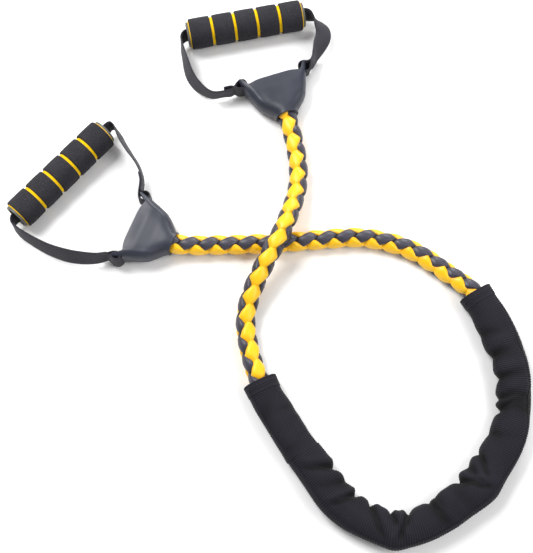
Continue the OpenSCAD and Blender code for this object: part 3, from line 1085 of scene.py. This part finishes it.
class BAND_OT_straps(bpy.types.Operator):
    """Build the two webbing straps and the stitching of their folded ends"""

    bl_idname = "band.straps"
    bl_label = "Build Straps"

    # lean of the webbing's width from upright, in degrees, at each point of its two free runs
    LEAN = {
        "left": (2, 6, 12, 18, 18, 16, 8, -6, -14, -14, 4, 12, 16, 22, 28, 24, 16, 8),
        "right": (8, 20, 48, 64, 66, 56, 30, -8, -16, -12, 0, 8, 14, 22, 24, 16, -2, -8, 0),
    }

    def execute(self, context):
        sizes = context.scene.band_webbing
        for side in SIDES:
            route = Route(strap_points(side), 0.0012)
            at = [route.nearest(place) for place in STRAP_OUT[side] + STRAP_BACK[side]]
            lean = np.radians(np.interp(route.s, at, self.LEAN[side]))
            lean = np.convolve(np.pad(lean, 5, "edge"), np.ones(11) / 11, "valid")
            level = unit_rows(np.cross([0.0, 0.0, 1.0], route.heads))
            wide = np.cos(lean)[:, None] * route.ups + np.sin(lean)[:, None] * level
            thick = np.cross(wide, route.heads)
            rings = self.section(route, wide, thick, sizes)
            across = np.concatenate([
                np.linspace(0, sizes.width, 11), np.linspace(sizes.width, 0, 11),
            ])
            parts = MeshParts()
            parts.sweep(rings, route.s, np.append(across, 0.0))
            piece = outward(parts.made(f"{side}_webbing", webbing()))
            threads = self.threads(side, route, wide, thick, sizes)
            self.join(side, piece, f"{side}_strap", "webbing")
            self.join(side, threads, f"{side}_strap_stitching", "thread")
        return {"FINISHED"}

    @staticmethod
    def section(route, wide, thick, sizes):
        """Rings round the webbing: a thin rounded oblong that crowns a little."""
        t = np.linspace(-1, 1, 11)
        edge = np.sqrt(np.clip(1 - np.abs(t) ** 10, 0.10, 1))
        flat = t * sizes.width / 2
        rise = edge * sizes.thickness / 2
        w = np.concatenate([flat, flat[::-1]])
        h = np.concatenate([rise, -rise[::-1]])
        return (
            route.points[:, None, :]
            + w[None, :, None] * wide[:, None, :]
            + h[None, :, None] * thick[:, None, :]
        )

    @staticmethod
    def threads(side, route, wide, thick, sizes):
        """Two rows of stitches along each doubled end and one across each end of them."""
        half, row = sizes.thickness / 2, 0.36
        lines = []
        for run in (STRAP_OUT[side], STRAP_BACK[side][::-1]):
            begin, stop = sorted((route.nearest(run[0]), route.nearest(run[1])))
            rows = np.where((route.s >= begin) & (route.s <= stop))[0]
            for place in (-row, row):
                for skin in (-1, 1):
                    lines.append([
                        route.points[i] + wide[i] * place * sizes.width + thick[i] * skin * half
                        for i in rows
                    ])
            for i in (rows[0], rows[-1]):
                lines.append([
                    route.points[i] + wide[i] * place * sizes.width + thick[i] * half
                    for place in np.linspace(-row, row, 12)
                ])
        pitch = sizes.stitch * 1.4
        return stitch_rows(
            f"{side}_strap_threads", lines, pitch=pitch, long=sizes.stitch, thick=0.0005
        )

    @staticmethod
    def join(side, piece, node, slot):
        """Bakes the piece's place into its mesh and hides the model's part that it stands in for."""
        hood = HOODS[side]
        start, end = (on_plan(*hood.plan(x, 0)) for x in WEBBING_BENDS)
        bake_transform(piece)
        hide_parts(node)


# ---------------------------------------------------------------- grips
GRIP_GIRTH, FOAM_BORE = 0.11, 0.0153
LINER_HALF, LINER_BORE, LINER_RADIUS, LINER_EDGE = 0.0665, 0.0141, 0.0152, 0.0006


def lathe(name, outline, joint, paint, sides=96):
    """Turns an outline of (along, radius) in metres round the grip's axis."""
    axis, centre = Vector(joint["axis"]).normalized(), Vector(joint["pos_m"])
    left = Vector((0, 0, 1)).cross(axis).normalized()
    up = axis.cross(left)
    angle = np.arange(sides) * 2 * math.pi / sides
    spokes = np.cos(angle)[:, None] * np.array(left) + np.sin(angle)[:, None] * np.array(up)
    rows = np.array(outline + outline[:1])
    rings = (
        np.array(centre)[None, None, :]
        + rows[:, 0][:, None, None] * np.array(axis)[None, None, :]
        + rows[:, 1][:, None, None] * spokes[None, :, :]
    )
    travel = np.concatenate([[0], np.cumsum(np.linalg.norm(np.diff(rows, axis=0), axis=1))])
    parts = MeshParts()
    parts.sweep(rings, travel, around_places(sides, GRIP_GIRTH), caps=False)
    return outward(parts.made(name, paint))


def rounded(x0, x1, r_in, r_out, edge, steps=6):
    """A ring's outline with its outer edges rounded and a soft crown."""
    turn = np.linspace(0, math.pi / 2, steps)
    near = [(x0 + edge * (1 - math.cos(a)), r_out - edge * (1 - math.sin(a))) for a in turn]
    far = [(x1 - edge * (1 - math.cos(a)), r_out - edge * (1 - math.sin(a))) for a in turn[::-1]]
    crown = [(x0 + (x1 - x0) * t, r_out + 0.0002) for t in (0.3, 0.5, 0.7)]
    return [(x0, r_in)] + near + crown + far + [(x1, r_in)]


class BAND_OT_grips(bpy.types.Operator):
    """Build the foam of both grips: bands, and the yellow liner under them"""

    bl_idname = "band.grips"
    bl_label = "Build Grips"

    def execute(self, context):
        edge = context.scene.band_grip.edge
        for side in SIDES:
            joint = JOINTS[f"{side}_spin"]
            axis, centre = Vector(joint["axis"]).normalized(), Vector(joint["pos_m"])
            for count in range(1, 6):
                node = f"{side}_foam_band_{count}"
                x0, x1, radius = self.extent(node, axis, centre)
                outline = rounded(x0, x1, FOAM_BORE, radius, edge)
                self.settle(lathe(f"{node}_foam", outline, joint, black_foam()), side, node,
                            "black_foam")
            node = f"{side}_foam_liner"
            outline = rounded(-LINER_HALF, LINER_HALF, LINER_BORE, LINER_RADIUS, LINER_EDGE)
            self.settle(lathe(f"{node}_foam", outline, joint, yellow_foam()), side, node,
                        "yellow_foam")
        return {"FINISHED"}

    @staticmethod
    def extent(node, axis, centre):
        """Where a foam band starts and ends along the grip, and its radius."""
        points = [v.co for v in frame["nodes"][node].data.vertices]
        along = [(p - centre).dot(axis) for p in points]
        radius = max(((p - centre) - axis * t).length for p, t in zip(points, along))
        return min(along), max(along), radius

    @staticmethod
    def settle(piece, side, node, slot):
        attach(piece, f"{side}_grip")
        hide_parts(node)


class BAND_OT_fittings(bpy.types.Operator):
    """Finish the hard fittings: end caps, core tubes, ferrules and strand plugs"""

    bl_idname = "band.fittings"
    bl_label = "Finish Fittings"

    def execute(self, context):
        finishes = {
            "inner_end_cap": cap_plastic, "outer_end_cap": cap_plastic,
            "core_tube": core_plastic, "ferrule": ferrule_steel, "strand_plugs": plug_plastic,
        }
        for side in SIDES:
            for what, finish in finishes.items():
                data = frame["nodes"][f"{side}_{what}"].data
                data.materials.clear()
                data.materials.append(finish())
        return {"FINISHED"}


# ---------------------------------------------------------------- stage
class BAND_OT_stage(bpy.types.Operator):
    """Set up a pale floor, soft light and the camera"""

    bl_idname = "band.stage"
    bl_label = "Build Stage"

    TILT = math.radians(18)
    DISTANCE = 1.05
    SENSOR = 36.0
    FOCAL_SHARE = 966 / 553

    def execute(self, context):
        scene = context.scene
        target = on_plan(0, 0, 0)
        data = bpy.data.cameras.new("camera")
        data.sensor_width = data.sensor_height = self.SENSOR
        data.lens = self.FOCAL_SHARE * self.SENSOR
        data.clip_start, data.clip_end = 0.05, 20
        camera = linked("camera", data)
        away = Vector((0, -math.sin(self.TILT), math.cos(self.TILT)))
        camera.location = target + away * self.DISTANCE
        camera.rotation_euler = (self.TILT, 0, 0)
        scene.camera = camera
        self.floor()
        for name, place, size, power in (
            ("key", (-0.9, 0.7, 1.5), 0.8, 34.0),
            ("fill", (1.2, -0.3, 1.3), 1.0, 15.0),
            ("rim", (0.5, 1.5, 0.8), 0.6, 16.0),
        ):
            light = bpy.data.lights.new(name, "AREA")
            light.size, light.energy = size, power
            lamp = linked(name, light)
            lamp.location = place
            lamp.rotation_euler = (-Vector(place)).to_track_quat("-Z", "Y").to_euler()
        world = bpy.data.worlds.new("studio")
        world.use_nodes = True
        sky = world.node_tree.nodes["Background"]
        sky.inputs["Color"].default_value = (1.0, 1.0, 1.0, 1.0)
        sky.inputs["Strength"].default_value = 0.42
        scene.world = world
        scene.view_settings.view_transform = "Standard"
        return {"FINISHED"}

    @staticmethod
    def floor():
        mesh = bpy.data.meshes.new("floor")
        side = 4.0
        corners = [(-side, -side, 0), (side, -side, 0), (side, side, 0), (-side, side, 0)]
        mesh.from_pydata(corners, [], [(0, 1, 2, 3)])
        mesh.materials.append(floor_paint())
        linked("floor", mesh)


# ---------------------------------------------------------------- add-on
SETTINGS = {
    "band_cord": BandCordSettings,
    "band_sleeve": BandSleeveSettings,
    "band_grip": BandGripSettings,
    "band_webbing": BandWebbingSettings,
    "band_colours": BandColours,
}
STEPS = (
    BAND_OT_stage, BAND_OT_cord, BAND_OT_sleeve, BAND_OT_hoods, BAND_OT_straps, BAND_OT_grips,
    BAND_OT_fittings,
)


class BAND_PT_panel(bpy.types.Panel):
    """Sizes, colours and building steps of the band"""

    bl_idname = "BAND_PT_panel"
    bl_label = "Resistance Band"
    bl_space_type = "VIEW_3D"
    bl_region_type = "UI"
    bl_category = "Band"

    def draw(self, context):
        for name, group in SETTINGS.items():
            box = self.layout.box()
            for key in group.__annotations__:
                box.prop(getattr(context.scene, name), key)
        for step in STEPS:
            self.layout.operator(step.bl_idname)


CLASSES = (*SETTINGS.values(), *STEPS, BAND_PT_panel)


def register():
    for one in CLASSES:
        bpy.utils.register_class(one)
    for name, group in SETTINGS.items():
        setattr(bpy.types.Scene, name, bpy.props.PointerProperty(type=group))


def unregister():
    for name in SETTINGS:
        delattr(bpy.types.Scene, name)
    for one in reversed(CLASSES):
        bpy.utils.unregister_class(one)


def main():
    register()
    for step in STEPS:
        family, action = step.bl_idname.split(".")
        getattr(getattr(bpy.ops, family), action)()


if __name__ == "__main__":
    main()
